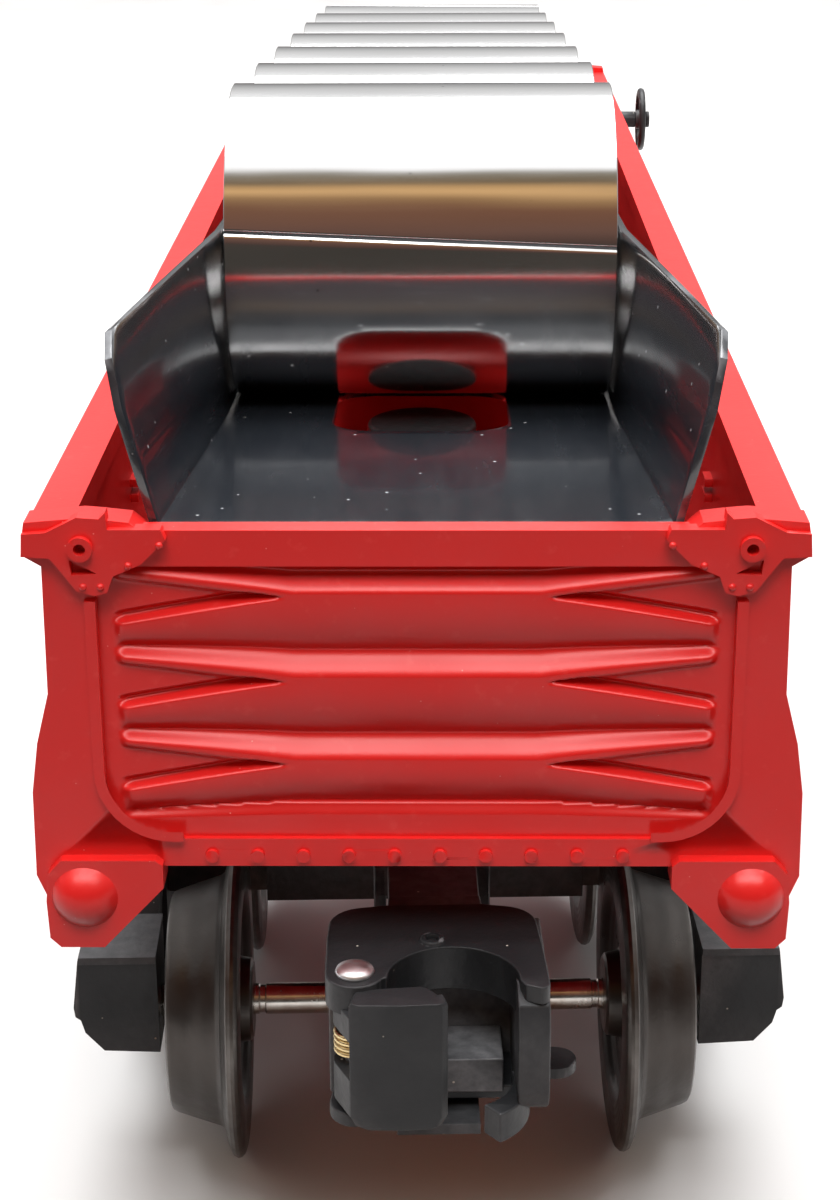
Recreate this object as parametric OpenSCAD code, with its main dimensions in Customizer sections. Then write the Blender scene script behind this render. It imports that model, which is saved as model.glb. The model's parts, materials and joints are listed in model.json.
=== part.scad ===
// Toy gondola car that carries culvert pipes in a sloping sheet-metal channel.
// Origin: table plane, centre line, midway between the two end walls.
// +X right, +Y from the high loading end to the low end, +Z up. Millimetres.

/* [Body] */
// Length over the end walls
body_l = 206; // [180:1:240]
// Width over the top rails
rail_w = 49.2; // [44:0.2:56]
// Height of the top rails above the table
rail_z = 58.6; // [54:0.2:64]
// Thickness of the moulded end walls
wall_t = 1.65; // [1.2:0.05:2.4]

/* [Channel and pipes] */
// Outside diameter of a pipe
pipe_d = 24.3; // [20:0.1:26]
// Length of a pipe
pipe_l = 29.2; // [20:0.1:34]
// Wall thickness of a pipe
pipe_t = 0.45; // [0.3:0.05:1]
// Downhill slope of the channel floor in degrees
slope = 4; // [0:0.5:6]
// Height of the channel side walls
trough_h = 14.2; // [8:0.1:20]
// Thickness of the channel sheet
sheet_t = 0.5; // [0.3:0.05:1]

/* [Trucks and wheels] */
// Distance between the truck centres
truck_span = 127.6; // [110:0.2:150]
// Distance between the two axles of a truck
wheelbase = 32.8; // [30:0.2:36]
// Gap between the backs of two wheels on an axle
back_gap = 28.6; // [28:0.1:29.4]
// Wheel radius over the flange
flange_r = 12.15; // [10:0.05:13]
// Axle radius
axle_r = 1.2; // [0.8:0.05:1.8]
// Angle that the loading-end truck stands at, in degrees
front_turn = 1.9; // [-6:0.1:6]

/* [Couplers and brake wheel] */
// Height of the coupler head's top above the table
coupler_top = 29.3; // [28:0.1:29.5]
// Width of the coupler head
coupler_w = 14.4; // [12:0.1:16]
// Brake wheel radius
brake_r = 4.3; // [3:0.1:6]

/* [Hidden] */

$fn = 48;
fit = 0.05;
end_y = body_l / 2;
truck_y = truck_span / 2;
rail_x = rail_w / 2;
rail_in = rail_x - 2.8;
side_x = rail_x - 1;
belly_x = rail_x + 0.5;
sill_z = 35.2;
floor_z = 38.5;
floor_t = 1.5;
pad_z = 30.5;
step_z = 29.6;
rib_pitch = 5.8;
panel_in = 0.4;
post_n = 12;

trough_in = 14.9;
mouth_in = 16.35;
mouth_y = 1.7 - end_y;
mouth_z = rail_z - 0.3;
crease = 33.5;
pipe_pitch = pipe_d + 0.15;
pipe_rise = pipe_d / 2 + 0.1;
pipe_1_y = 42.45;
trough_l = pipe_1_y + 6 * pipe_pitch + pipe_d / 2 + 0.1 + sheet_t;

wheel_w = 5.7;
frame_in = 20.9;
frame_x = 21.2;
bolster_top = pad_z - 0.2;
axle_z = flange_r;
rivet_r = 2;
nose_y = -46.4;
pin_x = -5.5;
pin_y = -42.7;
pin_r = 0.75;
head_z = 18.6;
lock_y = -25;
lock_z = 18.3;
brake_y = 90;
brake_z = rail_z - 5;
brake_x = rail_x + 4.6;
slot_y = -65.9;
peg_r = 4.3;

// Placement and extrusion helpers.
module left_and_right() {
    children();
    mirror([1, 0, 0]) children();
}

module at_both_ends() {
    children();
    mirror([0, 1, 0]) children();
}

module along_y(y0, y1) translate([0, y1, 0]) rotate([90, 0, 0]) linear_extrude(y1 - y0) children();

module along_x(x0, x1) translate([x0, 0, 0]) rotate([90, 0, 90]) linear_extrude(x1 - x0) children();

module rod_x(x0, x1, r) translate([x0, 0, 0]) rotate([0, 90, 0]) cylinder(r = r, h = x1 - x0);

module rod_y(y0, y1, r) translate([0, y1, 0]) rotate([90, 0, 0]) cylinder(r = r, h = y1 - y0);

module block(x0, x1, y0, y1, z0, z1) translate([x0, y0, z0]) cube([x1 - x0, y1 - y0, z1 - z0]);

module rounded(w, l, r) {
    square([w - 2 * r, l], center = true);
    square([w, l - 2 * r], center = true);
    for (x = [-1, 1], y = [-1, 1]) translate([x * (w / 2 - r), y * (l / 2 - r)]) circle(r);
}

// The channel's own frame: y runs down the floor, z stands square to it.
module on_slope() translate([0, mouth_y, mouth_z]) rotate([-slope, 0, 0]) children();

// Truck frames: the pivot at the origin, the coupler towards -Y.
module front_truck() translate([0, -truck_y, 0]) rotate(front_turn) children();

module rear_truck() translate([0, truck_y, 0]) rotate(180) children();

// Body.
module side_section() polygon([
    [rail_in, rail_z], [rail_x, rail_z], [rail_x, rail_z - 1.8], [side_x, rail_z - 2.4],
    [side_x + 0.1, 47.5], [belly_x - 0.5, 44], [belly_x, 40.5], [belly_x, sill_z],
    [belly_x - 1.7, sill_z], [belly_x - 1.7, floor_z - floor_t], [side_x - 1.6, floor_z - floor_t],
    [side_x - 1.6, rail_z - 2.2], [rail_in, rail_z - 1.8]]);

module end_section() {
    half = [[0, sill_z], [16.7, sill_z], [16.7, 34], [20.8, step_z], [23.7, step_z], [24.4, 30.3],
        [24.6, 33],
        [belly_x + 0.1, 34.5], [belly_x, 40.5], [belly_x - 0.5, 44], [side_x + 0.1, 47.5],
        [side_x, rail_z - 2.4], [rail_x, rail_z - 1.8], [rail_x, rail_z], [0, rail_z]];
    polygon(half);
    mirror([1, 0]) polygon(half);
}

module panel_shape() {
    translate([-20.3, 42]) square([40.6, 14.2]);
    translate([-15.8, 37.2]) square([31.6, 5]);
    for (x = [-15.8, 15.8]) translate([x, 41.7]) circle(4.5);
}

module pressed_rib(z) {
    half = [[0, z + 0.5], [7.9, z + 0.5], [19.2, z + 2.1], [19.2, z + 1.6], [7.9, z], [19.2, z - 0.9],
        [19.2, z - 1.4], [7.9, z - 0.9], [0, z - 1.2]];
    along_y(-end_y - 0.1, -end_y + panel_in + 0.1) {
        polygon(half);
        mirror([1, 0]) polygon(half);
    }
}

module pressed_groove(z) translate([0, -end_y + panel_in - 1.1, z]) rod_x(-18, 18, 1.4);

module edge_bead() {
    along_y(-end_y - 0.5, -end_y + 0.2) {
        translate([20.25, 42.2]) square([0.7, 11.8]);
        intersection() {
            translate([15.95, 42.2]) difference() {
                circle(5);
                circle(4.3);
            }
            translate([15.95, 36]) square([6, 6.2]);
        }
        translate([15.3, 37.2]) square([0.65, 0.7]);
    }
}

module corner_gusset() {
    along_y(-end_y - 0.8, -end_y + 0.4) difference() {
        polygon([[15.6, 58.2], [15.9, 58.9], [19.2, 58.9], [19.3, 60], [19.7, 59.6], [21.1, 59.7], [23.1, 58.7],
            [24.6, 58.6], [24.7, 57.1], [22.9, 57], [21.3, 54.8], [20.2, 54.5], [19.4, 54.7], [19, 55.8],
            [17.2, 56.6]]);
        translate([20.95, 57.7]) circle(0.38);
        polygon([[21.7, 56.9], [21.6, 55.9], [20, 56]]);
    }
    translate([20.95, 0, 57.7]) difference() {
        rod_y(-end_y - 1.2, -end_y, 0.8);
        rod_y(-end_y - 2, -end_y + 0.1, 0.38);
    }
    along_y(-end_y - 0.3, -end_y + 2.2) polygon([[24.7, rail_z - 0.6], [24.5, 59.2], [20.9, 59.5], [19.7, 59.4],
        [17.9, 59.2], [17.1, 58.5], [17.1, rail_z - 0.6]]);
}

module corner_pad() {
    along_y(-end_y - 0.9, -end_y + 0.2) polygon([[16.7, 35.6], [17.2, 36], [23.4, 36], [24.3, 35],
        [24.5, 33], [24.4, 30.3], [23.7, step_z], [20.8, step_z], [16.7, 34]]);
    intersection() {
        translate([21.95, -end_y + 0.5, 33.3]) sphere(2.6);
        block(18, 25, -end_y - 3, -end_y, step_z, 37);
    }
}

module end_wall() {
    difference() {
        along_y(-end_y, -end_y + wall_t) end_section();
        along_y(-end_y - 1, -end_y + panel_in) panel_shape();
        for (row = [0:2]) pressed_groove(51.4 - row * rib_pitch);
    }
    for (row = [0:2]) pressed_rib(54.05 - row * rib_pitch);
    for (i = [-4.5:4.5]) translate([3 * i, 0, 36]) rod_y(-end_y - 0.3, -end_y + 0.2, 0.45);
    left_and_right() {
        edge_bead();
        corner_gusset();
        corner_pad();
        block(23.4, 24.4, -end_y + 1, -end_y + 8, step_z, 36);
        block(side_x - 2.2, side_x - 1, -end_y + 30, -end_y + 32, 50.6, 51.2);
        block(side_x - 2.2, side_x - 1, -end_y + 30, -end_y + 32, 51.8, 52.4);
    }
}

module side_post(y) translate([0, y, 0]) {
    block(side_x - 0.3, side_x + 1.2, -0.8, 0.8, 45, rail_z - 2);
    along_x(belly_x - 0.3, belly_x + 0.4) translate([0, 40]) square([1.6, 9], center = true);
}

module underframe() {
    block(-side_x + 1, side_x - 1, -end_y + 1, end_y - 1, floor_z - floor_t, floor_z);
    block(-4.5, 4.5, -46, 46, 33, floor_z - floor_t + 0.1);
    for (y = [-40:20:40]) block(-side_x + 0.4, side_x - 0.4, y - 0.8, y + 0.8, 34.5, floor_z - floor_t + 0.1);
    at_both_ends() translate([0, truck_y, pad_z]) cylinder(r = 6.5, h = floor_z - floor_t - pad_z + 0.1);
}

module body_shell() color([0.78, 0.13, 0.13]) difference() {
    union() {
        left_and_right() {
            along_y(-end_y + 0.5, end_y - 0.5) side_section();
            for (i = [0:post_n - 1]) side_post(-82 + i * 164 / (post_n - 1));
        }
        at_both_ends() end_wall();
        underframe();
        translate([0, brake_y, brake_z]) rod_x(side_x - 0.5, rail_x + 1.4, 1.5);
    }
    at_both_ends() translate([0, truck_y, pad_z - 1]) cylinder(r = rivet_r + fit, h = 12);
    for (x = [-5, 5], y = [-93.5, 88.5]) translate([x, y, floor_z - 3]) cylinder(r = 0.9 + fit, h = 5);
    translate([0, brake_y, brake_z]) rod_x(side_x - 3, rail_x + 2, 0.7 + fit);
}

// Channel: folded from one sheet, with flared ears, a service slot, a stop and two legs.
module ear() {
    low = [mouth_in, 0.3, -sheet_t / 2];
    back = [trough_in + sheet_t / 2, crease, -sheet_t / 2];
    top = [trough_in + sheet_t / 2, crease, trough_h - sheet_t / 2];
    mid = [18.1, 0.5, 6.6];
    horn = [19.2, 3.4, 11.9];
    for (facet = [[low, back, top], [low, mid, top], [mid, horn, top]])
        hull() for (p = facet) translate(p) sphere(sheet_t / 2, $fn = 16);
}

module leg(y, inward) {
    top = mouth_z - (y - mouth_y) * tan(slope) - 0.2;
    block(-8, 8, y, y + sheet_t, floor_z, top);
    block(-8, 8, min(y, y + inward), max(y + sheet_t, y + inward), floor_z, floor_z + sheet_t);
}

module pipe_channel() color([0.07, 0.07, 0.08]) difference() {
    union() {
        on_slope() {
            translate([0, 0, -sheet_t]) linear_extrude(sheet_t) polygon([[-mouth_in, 0], [mouth_in, 0],
                [trough_in + sheet_t, crease], [trough_in + sheet_t, trough_l],
                [-trough_in - sheet_t, trough_l], [-trough_in - sheet_t, crease]]);
            left_and_right() {
                block(trough_in, trough_in + sheet_t, crease, trough_l, -sheet_t, trough_h);
                ear();
            }
            block(-trough_in, trough_in, trough_l - sheet_t, trough_l, -sheet_t, 13);
        }
        leg(-98, 7);
        leg(93, -7);
    }
    translate([0, slot_y, 42]) linear_extrude(16) rounded(13.3, 15.2, 3);
    for (x = [-5, 5], y = [-93.5, 88.5]) translate([x, y, floor_z - 1]) cylinder(r = 0.9 + fit, h = 3);
}

module channel_rivets() color([0.55, 0.55, 0.57]) for (x = [-5, 5], y = [-93.5, 88.5])
    translate([x, y, 0]) {
        translate([0, 0, floor_z - floor_t - 0.7]) cylinder(r = 1.5, h = 0.7);
        translate([0, 0, floor_z - floor_t]) cylinder(r = 0.9, h = floor_t + sheet_t);
        translate([0, 0, floor_z + sheet_t]) cylinder(r = 1.5, h = 0.7);
    }

// Truck pegs: a head inside the bolster, a shank through it, and a tall boss under the channel.
module truck_rivets() color([0.1, 0.1, 0.11]) for (y = [-truck_y, truck_y]) translate([0, y, 0]) {
    channel_z = mouth_z - (y - mouth_y) * tan(slope) - 1.4;
    translate([0, 0, bolster_top - 3.2]) cylinder(r = 3.2, h = 0.8);
    translate([0, 0, bolster_top - 2.4]) cylinder(r = rivet_r, h = floor_z - bolster_top + 2.4);
    translate([0, 0, floor_z]) cylinder(r = peg_r, h = channel_z - floor_z);
}

// Pipes: rolled sheet tubes lying across the channel.
module pipe(i) color([0.78, 0.78, 0.8]) on_slope()
    translate([0, pipe_1_y + (i - 1) * pipe_pitch, pipe_rise]) difference() {
        rod_x(-pipe_l / 2, pipe_l / 2, pipe_d / 2);
        rod_x(-pipe_l / 2 - 1, pipe_l / 2 + 1, pipe_d / 2 - pipe_t);
        rotate([-7, 0, 0]) block(-pipe_l / 2 - 1, pipe_l / 2 + 1, -pipe_d / 2 - 1, -pipe_d / 2 + pipe_t / 2, -0.1, 0.1);
    }

// Brake wheel and its staff.
module brake_staff() color([0.1, 0.1, 0.1]) translate([0, brake_y, brake_z]) {
    rod_x(side_x - 2, brake_x + 0.8, 0.7);
    rod_x(brake_x + 0.75, brake_x + 1.2, 1.1);
    rod_x(rail_x + 1.45, brake_x - 0.75, 1.1);
}

module brake_wheel() color([0.12, 0.1, 0.09]) translate([brake_x, brake_y, brake_z]) rotate([0, 90, 0]) difference() {
    union() {
        rotate_extrude() translate([brake_r - 0.45, 0]) circle(0.45);
        for (a = [0:60:300]) rotate(a) translate([1, -0.3, -0.3]) cube([brake_r - 1.45, 0.6, 0.6]);
        translate([0, 0, -0.7]) cylinder(r = 1.3, h = 1.4);
    }
    translate([0, 0, -2]) cylinder(r = 0.7 + fit, h = 4);
}

// Trucks.
module bolster() color([0.09, 0.09, 0.1]) difference() {
    union() {
        block(-13, 13, -5.5, 5.5, 15, 27);
        translate([0, 0, 26.9]) linear_extrude(bolster_top - 26.9) rounded(20, 11, 2);
        block(-4.2, 4.2, -11.5, -4, bolster_top - 1.4, bolster_top);
        block(-frame_x, frame_x, -3.6, 3.6, 15, 23);
    }
    translate([0, 0, 10]) cylinder(r = rivet_r + 0.08, h = 30);
    translate([0, 0, 10]) cylinder(r = 3.4, h = bolster_top - 12.3);
    block(-9, 9, -4, 4, 14, 25);
    translate([0, -8.6, 20]) cylinder(r = 0.9 + fit, h = 12);
}

module side_frame() color([0.08, 0.08, 0.09]) difference() {
    union() {
        along_x(frame_x, frame_x + 2.8) difference() {
            polygon([[-6, 24.4], [6, 24.4], [10, 21], [13, 17.6], [19, 17.4], [19.3, 16], [19.3, 10],
                [13.4, 9.6], [9, 7.4], [-9, 7.4], [-13.4, 9.6], [-19.3, 10], [-19.3, 16], [-19, 17.4],
                [-13, 17.6], [-10, 21]]);
            for (s = [-1, 1]) polygon([[6 * s, 20], [11.4 * s, 16.4], [11.4 * s, 11.6], [6 * s, 10]]);
        }
        for (s = [-1, 1]) {
            translate([0, s * wheelbase / 2, 0]) {
                along_y(-3.2, 3.2) polygon([[frame_in, 17.5], [26.9, 17.5], [27.4, 13.4], [27.3, 12.6], [26.9, 12.3],
                    [26.6, 11.2], [25.2, 9.6], [frame_in, 9.4]]);
                along_y(-3.5, 3.5) polygon([[frame_in, 17.9], [26.8, 17.9], [26.85, 17.3], [frame_in, 17.3]]);
            }
            translate([frame_x + 2.9, 2.1 * s, 9]) cylinder(r = 1.6, h = 9);
        }
        block(frame_x, 25.6, -4.6, 4.6, 17.6, 21);
        block(frame_x, 25.6, -4.6, 4.6, 7.6, 9.4);
    }
    for (s = [-1, 1]) translate([0, s * wheelbase / 2, axle_z]) rod_x(frame_in - 1, 24.6, axle_r + fit);
}

module axle(s) color([0.7, 0.66, 0.62]) translate([0, s * wheelbase / 2, axle_z]) difference() {
    rod_x(-24.2, 24.2, axle_r);
    for (x = [-13, 13]) groove(x);
}

module groove(x) difference() {
    rod_x(x - 0.15, x + 0.15, axle_r + 1);
    rod_x(x - 1, x + 1, axle_r - 0.15);
}

module wheel(s, side) color([0.2, 0.18, 0.17]) translate([0, s * wheelbase / 2, axle_z])
    mirror([side < 0 ? 1 : 0, 0, 0]) translate([back_gap / 2, 0, 0]) rotate([0, 90, 0]) rotate_extrude($fn = 96)
        polygon([[axle_r + fit, -0.6], [3.2, -0.6], [3.4, 0.7], [7.6, 1.1], [8.4, 0], [11.6, 0],
            [flange_r, 0.45], [flange_r, 0.8], [11.1, 1.3], [9.7, 1.7], [8.5, wheel_w - 0.3],
            [8.2, wheel_w], [7, wheel_w], [6.5, 4.4], [3.4, 3.8], [3, wheel_w], [axle_r + fit, wheel_w]]);

// Couplers.
module coupler() color([0.1, 0.1, 0.11]) difference() {
    union() {
        block(-3.2, 3.2, -35, -6, bolster_top - 4, bolster_top - 1.45);
        translate([0, 0, coupler_top - 1.5]) linear_extrude(1.5) polygon([[-3.2, -33.6], [3.2, -33.6],
            [6.2, -35], [7.2, -37], [7.2, nose_y + 1.2], [6.6, nose_y + 0.4], [5.6, nose_y + 1],
            [4.6, -42.6], [2.6, -40.8], [-0.5, -40.4], [-3.2, -41.2], [-3.6, -43.6], [-5.5, -44.6],
            [-7.2, -43.6], [-7.2, -37], [-6.2, -35]]);
        block(5.5, coupler_w / 2, nose_y + 1.2, -35.4, head_z, coupler_top - 0.1);
        along_x(5.5, coupler_w / 2) polygon([[nose_y + 1.2, coupler_top], [nose_y + 0.2, coupler_top - 1.2],
            [nose_y + 0.2, head_z + 1.5], [nose_y + 1.2, head_z]]);
        block(-6, 6, -36.6, -34.6, head_z, coupler_top - 0.1);
        translate([0, 0, head_z]) linear_extrude(1) polygon([[-6, -35], [6, -35], [7.2, -37],
            [7.2, nose_y + 1.2], [3.4, -45], [0.8, -42.6], [-2.6, -41.4], [-4, -44.2], [-5.5, -44.6],
            [-7.2, -43.4], [-7.2, -37]]);
        block(-7.2, -6.2, -40, -35.6, head_z, coupler_top - 0.1);
        translate([1.2, -37.6, coupler_top - 0.1]) cylinder(r = 0.9, h = 0.2);
        left_and_right() block(3.3, 4.2, lock_y - 1.6, lock_y + 1.6, 16.8, bolster_top - 1.6);
        block(-4.2, 4.2, lock_y - 1.6, lock_y + 1.6, bolster_top - 4, bolster_top - 1.6);
    }
    translate([pin_x, pin_y, head_z - 1]) cylinder(r = pin_r + fit, h = 14);
    translate([0, -8.6, 20]) cylinder(r = 0.9 + fit, h = 12);
    translate([0, lock_y, lock_z]) rod_x(-6, 6, 0.6 + fit);
}

module coupler_rivet() color([0.6, 0.6, 0.62]) translate([0, -8.6, 0]) {
    translate([0, 0, bolster_top - 4.6]) cylinder(r = 1.6, h = 0.6);
    translate([0, 0, bolster_top - 4]) cylinder(r = 0.9, h = 4);
    translate([0, 0, bolster_top]) cylinder(r = 1.6, h = 0.5);
}

module knuckle() color([0.09, 0.09, 0.1]) difference() {
    union() {
        translate([0, 0, head_z + 0.9]) linear_extrude(coupler_top - head_z - 1.2) polygon([[-6, nose_y + 0.5],
            [-5.5, nose_y], [0.1, nose_y], [0.55, nose_y + 0.5], [0.3, nose_y + 2], [-1, nose_y + 1.9],
            [-4.1, -43.8], [-4.1, -42.4], [-6.6, -42.4], [-6.9, -43.2]]);
        translate([pin_x, pin_y, head_z + 1.1]) cylinder(r = 1.45, h = coupler_top - head_z - 2.7);
    }
    translate([pin_x, pin_y, head_z]) cylinder(r = pin_r + fit, h = 12);
    translate([pin_x, pin_y, 23]) cylinder(r = 2.1, h = 2.6);
    block(-9, 9, -44.75, -40, coupler_top - 1.6, coupler_top + 1);
    block(-9, 9, -44.75, -40, head_z, head_z + 1.1);
}

module knuckle_pin() color([0.75, 0.75, 0.77]) translate([pin_x, pin_y, 0]) {
    translate([0, 0, head_z - 0.5]) cylinder(r = 1.1, h = 0.5);
    translate([0, 0, head_z]) cylinder(r = pin_r, h = coupler_top - head_z);
    translate([0, 0, coupler_top]) cylinder(r = 1.25, h = 0.35);
    translate([0, 0, coupler_top + 0.35]) cylinder(r = 0.95, h = 0.2);
}

module knuckle_spring() color([0.72, 0.55, 0.3]) translate([pin_x, pin_y, 0]) {
    for (z = [23.4:0.42:25.1]) translate([0, 0, z]) rotate_extrude($fn = 32) translate([1.3, 0]) circle(0.25, $fn = 16);
    translate([0, -1.3, 23.5]) rod_x(0.1, 1.2, 0.2);
    translate([0, 1.3, 25]) rod_x(0.1, 4.5, 0.2);
}

module lock_plate() color([0.1, 0.1, 0.11]) difference() {
    union() {
        translate([0, 0, 17]) linear_extrude(0.8) {
            translate([-2.8, -43]) square([5.6, 43 + lock_y]);
            translate([0, -36.4]) square([8.4, 3]);
            translate([8.4, -34.9]) circle(1.5);
        }
        translate([0, lock_y, lock_z]) rod_x(-2.9, 2.9, 1.25);
    }
    translate([0, lock_y, lock_z]) rod_x(-4, 4, 0.6 + fit);
}

module lock_pin() color([0.6, 0.6, 0.62]) translate([0, lock_y, lock_z]) {
    rod_x(-4.3, 4.3, 0.6);
    left_and_right() rod_x(4.25, 4.6, 1);
}

body_shell();
pipe_channel();
channel_rivets();
truck_rivets();
pipe(1);  // pipe_1
pipe(2);  // pipe_2
pipe(3);  // pipe_3
pipe(4);  // pipe_4
pipe(5);  // pipe_5
pipe(6);  // pipe_6
pipe(7);  // pipe_7
brake_staff();
brake_wheel();
front_truck() bolster();  // bolster_front
front_truck() mirror([1, 0, 0]) side_frame();  // side_frame_front_l
front_truck() side_frame();  // side_frame_front_r
front_truck() axle(-1);  // axle_1
front_truck() axle(1);  // axle_2
front_truck() wheel(-1, -1);  // wheel_1l
front_truck() wheel(-1, 1);  // wheel_1r
front_truck() wheel(1, -1);  // wheel_2l
front_truck() wheel(1, 1);  // wheel_2r
front_truck() coupler();  // coupler_front
front_truck() coupler_rivet();  // coupler_rivet_front
front_truck() knuckle();  // knuckle_front
front_truck() knuckle_pin();  // knuckle_pin_front
front_truck() knuckle_spring();  // knuckle_spring_front
front_truck() lock_plate();  // lock_plate_front
front_truck() lock_pin();  // lock_pin_front
rear_truck() bolster();  // bolster_rear
rear_truck() side_frame();  // side_frame_rear_l
rear_truck() mirror([1, 0, 0]) side_frame();  // side_frame_rear_r
rear_truck() axle(1);  // axle_3
rear_truck() axle(-1);  // axle_4
rear_truck() wheel(1, 1);  // wheel_3l
rear_truck() wheel(1, -1);  // wheel_3r
rear_truck() wheel(-1, 1);  // wheel_4l
rear_truck() wheel(-1, -1);  // wheel_4r
rear_truck() coupler();  // coupler_rear
rear_truck() coupler_rivet();  // coupler_rivet_rear
rear_truck() knuckle();  // knuckle_rear
rear_truck() knuckle_pin();  // knuckle_pin_rear
rear_truck() knuckle_spring();  // knuckle_spring_rear
rear_truck() lock_plate();  // lock_plate_rear
rear_truck() lock_pin();  // lock_pin_rear
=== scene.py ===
"""Toy gondola car with culvert pipes: materials, pieces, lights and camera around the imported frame."""

import json
import math
import random

import bmesh
import bpy
from mathutils import Matrix, Vector

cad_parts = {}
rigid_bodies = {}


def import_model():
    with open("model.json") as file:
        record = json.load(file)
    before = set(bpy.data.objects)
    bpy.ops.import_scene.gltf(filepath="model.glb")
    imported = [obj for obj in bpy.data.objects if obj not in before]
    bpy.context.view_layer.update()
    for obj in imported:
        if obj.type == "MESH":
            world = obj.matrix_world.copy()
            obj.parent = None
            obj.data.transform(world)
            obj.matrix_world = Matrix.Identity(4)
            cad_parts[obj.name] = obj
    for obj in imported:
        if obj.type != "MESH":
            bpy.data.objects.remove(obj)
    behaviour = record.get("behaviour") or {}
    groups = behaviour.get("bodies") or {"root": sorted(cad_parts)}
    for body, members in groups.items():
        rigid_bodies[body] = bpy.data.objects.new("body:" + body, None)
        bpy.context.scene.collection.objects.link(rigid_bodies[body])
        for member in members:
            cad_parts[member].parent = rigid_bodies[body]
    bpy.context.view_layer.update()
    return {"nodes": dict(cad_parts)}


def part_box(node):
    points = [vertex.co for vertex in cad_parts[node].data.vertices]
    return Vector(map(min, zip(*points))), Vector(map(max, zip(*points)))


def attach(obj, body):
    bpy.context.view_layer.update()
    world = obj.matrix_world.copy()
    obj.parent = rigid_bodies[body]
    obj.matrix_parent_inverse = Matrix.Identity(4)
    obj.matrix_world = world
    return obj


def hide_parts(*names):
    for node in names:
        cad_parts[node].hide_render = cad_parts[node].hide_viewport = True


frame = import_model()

MM = 0.001
random.seed(7)

# Sizes shared with the CAD model, in millimetres.
END_Y = 103.0
PANEL_IN = 0.4
SLOPE = math.radians(4)
MOUTH = (0, -101.3, 58.3)
TROUGH_IN = 14.9
TROUGH_L = 201.9
TROUGH_H = 14.2
MOUTH_IN = 16.35
CREASE = 33.5
SHEET_T = 0.5
PIPE_D = 24.3
PIPE_L = 29.2
PIPE_T = 0.45
PIPE_PITCH = 24.45
PIPE_1_Y = 42.45
TRUCK_Y = 63.8
FRONT_TURN = 1.9
WHEELBASE = 32.8
BACK_GAP = 28.6
FLANGE_R = 12.15
COUPLER_TOP = 29.3
HEAD_Z = 18.6
PIN = (-5.5, -42.7)
BRAKE = (29.2, 90, 53.6)
SLOT_Y = -65.9


# Shader helpers.
class Shader:
    """A material's node tree, with short calls to add and join nodes."""

    def __init__(self, name):
        self.material = bpy.data.materials.new(name)
        self.material.use_nodes = True
        self.nodes = self.material.node_tree.nodes
        self.links = self.material.node_tree.links
        self.bsdf = self.nodes["Principled BSDF"]
        self.coords = self.nodes.new("ShaderNodeTexCoord").outputs["Object"]

    def set(self, **values):
        for key, value in values.items():
            self.bsdf.inputs[key.replace("_", " ")].default_value = value

    def link(self, out, socket):
        self.links.new(out, self.bsdf.inputs[socket] if isinstance(socket, str) else socket)

    def stretched(self, scale):
        node = self.nodes.new("ShaderNodeMapping")
        node.inputs["Scale"].default_value = scale
        self.links.new(self.coords, node.inputs["Vector"])
        return node.outputs["Vector"]

    def noise(self, scale, detail=4.0, roughness=0.55, vector=None):
        node = self.nodes.new("ShaderNodeTexNoise")
        node.inputs["Scale"].default_value = scale
        node.inputs["Detail"].default_value = detail
        node.inputs["Roughness"].default_value = roughness
        self.links.new(vector or self.coords, node.inputs["Vector"])
        return node.outputs["Fac"]

    def specks(self, scale, size):
        node = self.nodes.new("ShaderNodeTexVoronoi")
        node.inputs["Scale"].default_value = scale
        self.links.new(self.coords, node.inputs["Vector"])
        return self.spread(node.outputs["Distance"], size * 0.6, size, 1.0, 0.0)

    def rings(self, axis, scale):
        node = self.nodes.new("ShaderNodeTexWave")
        node.wave_type = "RINGS"
        node.rings_direction = axis
        node.inputs["Scale"].default_value = scale
        node.inputs["Distortion"].default_value = 0.6
        node.inputs["Detail"].default_value = 3.0
        self.links.new(self.coords, node.inputs["Vector"])
        return node.outputs["Fac"]

    def spread(self, value, low, high, out_low, out_high):
        node = self.nodes.new("ShaderNodeMapRange")
        for key, number in zip(("From Min", "From Max", "To Min", "To Max"), (low, high, out_low, out_high)):
            node.inputs[key].default_value = number
        self.links.new(value, node.inputs["Value"])
        return node.outputs["Result"]

    def mix(self, factor, first, second):
        node = self.nodes.new("ShaderNodeMix")
        node.data_type = "RGBA"
        self.links.new(factor, node.inputs["Factor"])
        for socket, value in ((node.inputs["A"], first), (node.inputs["B"], second)):
            if isinstance(value, tuple):
                socket.default_value = (*value, 1)
            else:
                self.links.new(value, socket)
        return node.outputs["Result"]

    def edges(self, low=0.52, high=0.6):
        node = self.nodes.new("ShaderNodeNewGeometry")
        return self.spread(node.outputs["Pointiness"], low, high, 0.0, 1.0)

    def times(self, first, second):
        node = self.nodes.new("ShaderNodeMath")
        node.operation = "MULTIPLY"
        self.links.new(first, node.inputs[0])
        self.links.new(second, node.inputs[1])
        return node.outputs["Value"]

    def bump(self, height, strength, distance, normal=None):
        node = self.nodes.new("ShaderNodeBump")
        node.inputs["Strength"].default_value = strength
        node.inputs["Distance"].default_value = distance
        self.links.new(height, node.inputs["Height"])
        if normal is not None:
            self.links.new(normal, node.inputs["Normal"])
        return node.outputs["Normal"]


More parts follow.
